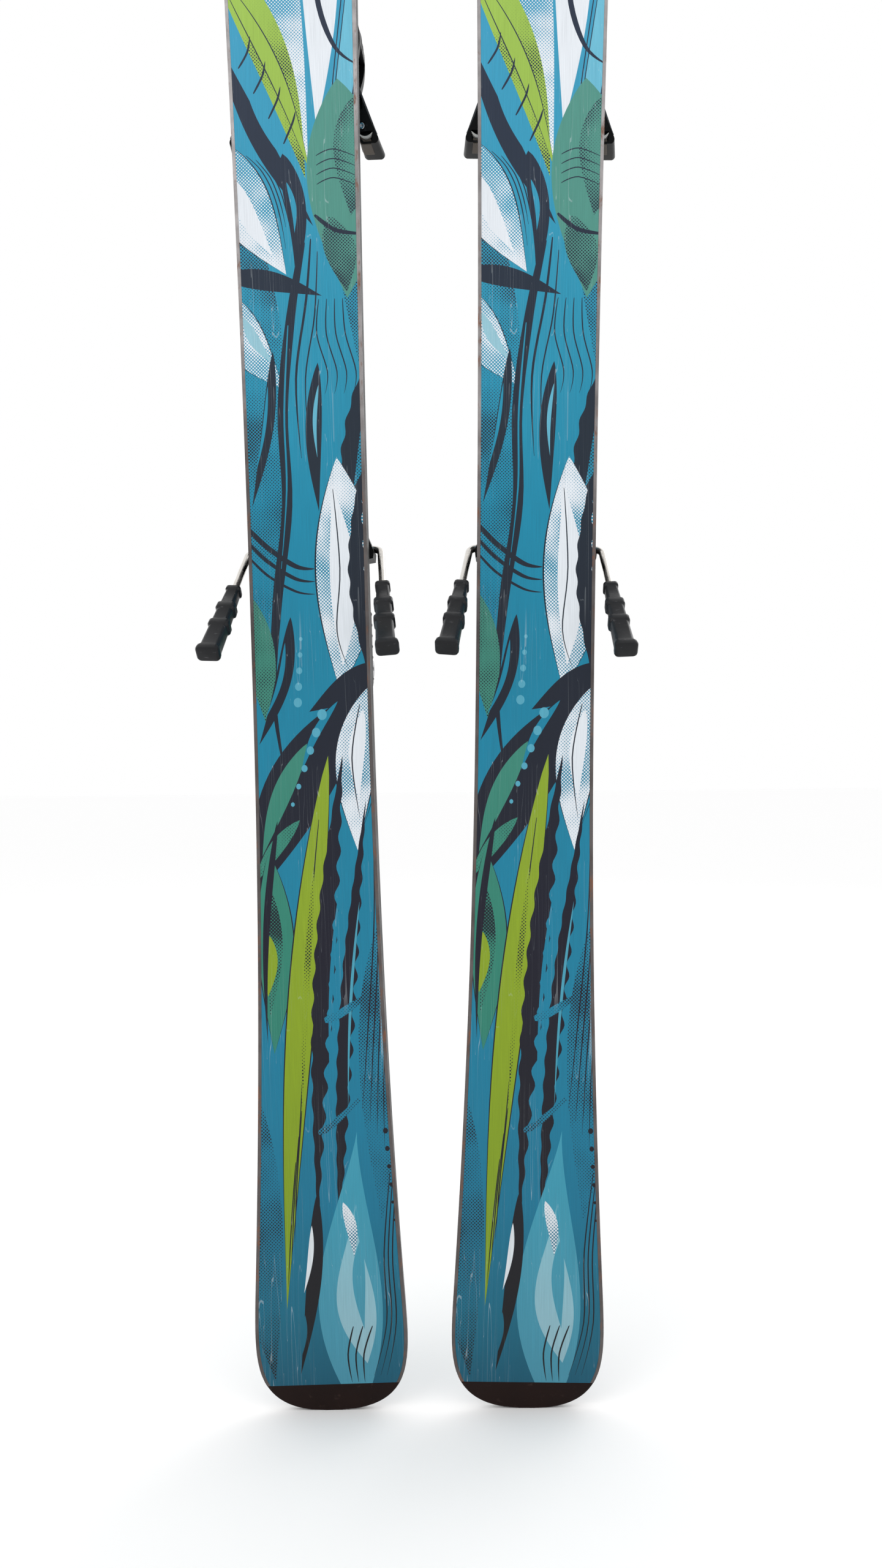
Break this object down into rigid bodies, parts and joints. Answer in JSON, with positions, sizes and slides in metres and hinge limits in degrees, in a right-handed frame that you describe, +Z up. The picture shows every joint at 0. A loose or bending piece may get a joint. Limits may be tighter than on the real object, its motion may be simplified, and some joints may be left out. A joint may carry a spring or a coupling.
{
  "type": "pair of alpine skis with bindings",
  "caption": "Pair of shaped alpine skis with printed bases, steel edges and step-in bindings with toe wings, heel jaw, lever and sprung brakes, standing on their tails.",
  "frame": {"origin": "on the ground under the pair's middle, where the tails stand", "axes": "+Z up along the skis from tail to tip, bases facing -Y, bindings facing +Y, left ski at -X"},
  "size_m": [0.2798, 0.1384, 1.4799],
  "materials": {
    "base_print": "printed sintered base, waxed, fine grind lines",
    "edge_steel": "ground edge, light rust",
    "core_wood": "laminated core",
    "sidewall_plastic": "satin",
    "top_print": "printed sheet, satin gloss",
    "cap_plastic": "satin",
    "track_plastic": "moulded, fine grain",
    "binding_plastic": "moulded, satin",
    "wing_plastic": "moulded, satin",
    "lever_plastic": "moulded, satin",
    "foot_plastic": "moulded, scuffed",
    "slick_plastic": "smooth",
    "cast_metal": "as cast",
    "bright_steel": "plated",
    "wire_steel": "bright wire",
    "spring_steel": "oiled"
  },
  "bodies": {
    "left_ski": {"left_base": "base_print", "left_steel_edges": "edge_steel", "left_core": "core_wood", "left_sidewalls": "sidewall_plastic", "left_topsheet": "top_print", "left_tail_cap": "cap_plastic", "left_tip_cap": "cap_plastic", "left_toe_track": "track_plastic", "left_heel_track": "track_plastic", "left_track_screws": "bright_steel"},
    "left_toe": {"left_toe_carriage": "binding_plastic", "left_toe_housing": "binding_plastic", "left_toe_wing_pins": "bright_steel", "left_toe_spring": "spring_steel", "left_toe_piston": "cast_metal"},
    "left_wing_a": {"left_toe_wing_a": "wing_plastic"},
    "left_wing_b": {"left_toe_wing_b": "wing_plastic"},
    "left_glide_plate": {"left_antifriction_plate": "slick_plastic"},
    "left_toe_setting": {"left_toe_release_screw": "bright_steel"},
    "left_heel": {"left_heel_carriage": "binding_plastic", "left_heel_pin": "bright_steel", "left_brake_plate": "binding_plastic", "left_brake_spring": "spring_steel"},
    "left_jaw": {"left_heel_jaw": "binding_plastic", "left_heel_spring": "spring_steel"},
    "left_lever": {"left_heel_lever": "lever_plastic"},
    "left_heel_setting": {"left_heel_release_screw": "bright_steel"},
    "left_brake": {"left_brake_pedal": "lever_plastic", "left_brake_arms": "wire_steel", "left_brake_feet": "foot_plastic"},
    "right_ski": {"right_base": "base_print", "right_steel_edges": "edge_steel", "right_core": "core_wood", "right_sidewalls": "sidewall_plastic", "right_topsheet": "top_print", "right_tail_cap": "cap_plastic", "right_tip_cap": "cap_plastic", "right_toe_track": "track_plastic", "right_heel_track": "track_plastic", "right_track_screws": "bright_steel"},
    "right_toe": {"right_toe_carriage": "binding_plastic", "right_toe_housing": "binding_plastic", "right_toe_wing_pins": "bright_steel", "right_toe_spring": "spring_steel", "right_toe_piston": "cast_metal"},
    "right_wing_a": {"right_toe_wing_a": "wing_plastic"},
    "right_wing_b": {"right_toe_wing_b": "wing_plastic"},
    "right_glide_plate": {"right_antifriction_plate": "slick_plastic"},
    "right_toe_setting": {"right_toe_release_screw": "bright_steel"},
    "right_heel": {"right_heel_carriage": "binding_plastic", "right_heel_pin": "bright_steel", "right_brake_plate": "binding_plastic", "right_brake_spring": "spring_steel"},
    "right_jaw": {"right_heel_jaw": "binding_plastic", "right_heel_spring": "spring_steel"},
    "right_lever": {"right_heel_lever": "lever_plastic"},
    "right_heel_setting": {"right_heel_release_screw": "bright_steel"},
    "right_brake": {"right_brake_pedal": "lever_plastic", "right_brake_arms": "wire_steel", "right_brake_feet": "foot_plastic"}
  },
  "joints": [
    {"name": "pair_spread", "type": "slide", "parent": "left_ski", "child": "right_ski", "axis": [1, 0, 0], "range_m": [0, 0.2]},
    {"name": "left_toe_slide", "type": "slide", "parent": "left_ski", "child": "left_toe", "axis": [-0.0214, 0, 0.9998], "range_m": [-0.012, 0.012]},
    {"name": "left_wing_a_swing", "type": "hinge", "parent": "left_toe", "child": "left_wing_a", "pos_m": [-0.10188, 0.03025, 0.8595], "axis": [0, 1, 0], "range_deg": [0, 24], "stiffness_Nm_per_rad": 2, "springref_deg": -5.73},
    {"name": "left_wing_b_swing", "type": "hinge", "parent": "left_toe", "child": "left_wing_b", "pos_m": [-0.05589, 0.03025, 0.86048], "axis": [0, -1, 0], "range_deg": [0, 24], "stiffness_Nm_per_rad": 2, "springref_deg": -5.73},
    {"name": "left_glide_plate_slide", "type": "slide", "parent": "left_toe", "child": "left_glide_plate", "axis": [-0.9998, 0, -0.0214], "range_m": [-0.004, 0.004], "stiffness_N_per_m": 400},
    {"name": "left_toe_setting_turn", "type": "hinge", "parent": "left_toe", "child": "left_toe_setting", "pos_m": [-0.08023, 0.02625, 0.92297], "axis": [-0.0214, 0, 0.9998], "continuous": true},
    {"name": "left_heel_slide", "type": "slide", "parent": "left_ski", "child": "left_heel", "axis": [-0.0214, 0, 0.9998], "range_m": [-0.01, 0.01]},
    {"name": "left_jaw_hinge", "type": "hinge", "parent": "left_heel", "child": "left_jaw", "pos_m": [-0.07057, 0.03425, 0.47108], "axis": [-0.9998, 0, -0.0214], "range_deg": [0, 40]},
    {"name": "left_lever_hinge", "type": "hinge", "parent": "left_heel", "child": "left_lever", "pos_m": [-0.07057, 0.03425, 0.47108], "axis": [-0.9998, 0, -0.0214], "range_deg": [0, 48]},
    {"name": "left_heel_setting_turn", "type": "hinge", "parent": "left_jaw", "child": "left_heel_setting", "pos_m": [-0.07029, 0.04875, 0.45808], "axis": [-0.0214, 0, 0.9998], "continuous": true},
    {"name": "left_brake_swing", "type": "hinge", "parent": "left_heel", "child": "left_brake", "pos_m": [-0.07219, 0.01225, 0.54706], "axis": [0.9998, 0, 0.0214], "range_deg": [0, 50], "stiffness_Nm_per_rad": 0.35, "springref_deg": -28.65},
    {"name": "right_toe_slide", "type": "slide", "parent": "right_ski", "child": "right_toe", "axis": [0.0214, 0, 0.9998], "range_m": [-0.012, 0.012]},
    {"name": "right_wing_a_swing", "type": "hinge", "parent": "right_toe", "child": "right_wing_a", "pos_m": [0.05589, 0.03025, 0.86048], "axis": [0, 1, 0], "range_deg": [0, 24], "stiffness_Nm_per_rad": 2, "springref_deg": -5.73},
    {"name": "right_wing_b_swing", "type": "hinge", "parent": "right_toe", "child": "right_wing_b", "pos_m": [0.10188, 0.03025, 0.8595], "axis": [0, -1, 0], "range_deg": [0, 24], "stiffness_Nm_per_rad": 2, "springref_deg": -5.73},
    {"name": "right_glide_plate_slide", "type": "slide", "parent": "right_toe", "child": "right_glide_plate", "axis": [-0.9998, 0, 0.0214], "range_m": [-0.004, 0.004], "stiffness_N_per_m": 400},
    {"name": "right_toe_setting_turn", "type": "hinge", "parent": "right_toe", "child": "right_toe_setting", "pos_m": [0.08023, 0.02625, 0.92297], "axis": [0.0214, 0, 0.9998], "continuous": true},
    {"name": "right_heel_slide", "type": "slide", "parent": "right_ski", "child": "right_heel", "axis": [0.0214, 0, 0.9998], "range_m": [-0.01, 0.01]},
    {"name": "right_jaw_hinge", "type": "hinge", "parent": "right_heel", "child": "right_jaw", "pos_m": [0.07057, 0.03425, 0.47108], "axis": [-0.9998, 0, 0.0214], "range_deg": [0, 40]},
    {"name": "right_lever_hinge", "type": "hinge", "parent": "right_heel", "child": "right_lever", "pos_m": [0.07057, 0.03425, 0.47108], "axis": [-0.9998, 0, 0.0214], "range_deg": [0, 48]},
    {"name": "right_heel_setting_turn", "type": "hinge", "parent": "right_jaw", "child": "right_heel_setting", "pos_m": [0.07029, 0.04875, 0.45808], "axis": [0.0214, 0, 0.9998], "continuous": true},
    {"name": "right_brake_swing", "type": "hinge", "parent": "right_heel", "child": "right_brake", "pos_m": [0.07219, 0.01225, 0.54706], "axis": [0.9998, 0, -0.0214], "range_deg": [0, 50], "stiffness_Nm_per_rad": 0.35, "springref_deg": -28.65}
  ],
  "couplings": [
    {"joint": "left_lever_hinge", "follows": "left_jaw_hinge", "ratio": 1.2},
    {"joint": "right_lever_hinge", "follows": "right_jaw_hinge", "ratio": 1.2}
  ]
}
